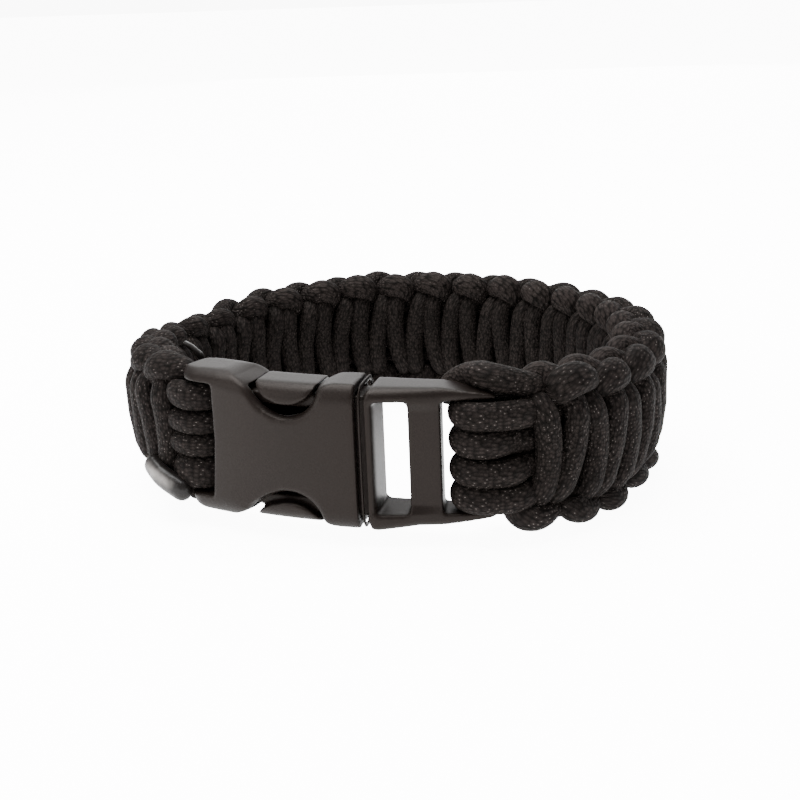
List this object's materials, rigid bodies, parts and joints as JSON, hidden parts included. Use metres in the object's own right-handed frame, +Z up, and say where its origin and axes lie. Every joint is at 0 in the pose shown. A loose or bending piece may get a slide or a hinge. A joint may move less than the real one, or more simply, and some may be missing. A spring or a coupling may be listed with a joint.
{
  "type": "paracord bracelet",
  "caption": "Wide bracelet of woven paracord, closed by a side release buckle, that goes round the wrist.",
  "frame": {"origin": "middle of the loop's outline, on the plane that the bracelet's lower edge rests on", "axes": "+X across the front, from the buckle's socket to its plug; +Y from the buckle to the back of the loop; +Z up, along the wrist"},
  "size_m": [0.0924, 0.081, 0.0253],
  "materials": {
    "buckle_plastic": "satin",
    "cord": "woven nylon",
    "melted_cord": "glossy, melted"
  },
  "bodies": {
    "root": {"buckle_socket": "buckle_plastic", "buckle_plug": "buckle_plastic", "woven_band": "cord", "plug_loop_1": "cord", "plug_loop_2": "cord", "plug_loop_3": "cord", "plug_loop_4": "cord", "socket_loop_1": "cord", "socket_loop_2": "cord", "socket_loop_3": "cord", "socket_loop_4": "cord", "cord_end_lower": "melted_cord", "cord_end_upper": "melted_cord"}
  },
  "joints": []
}
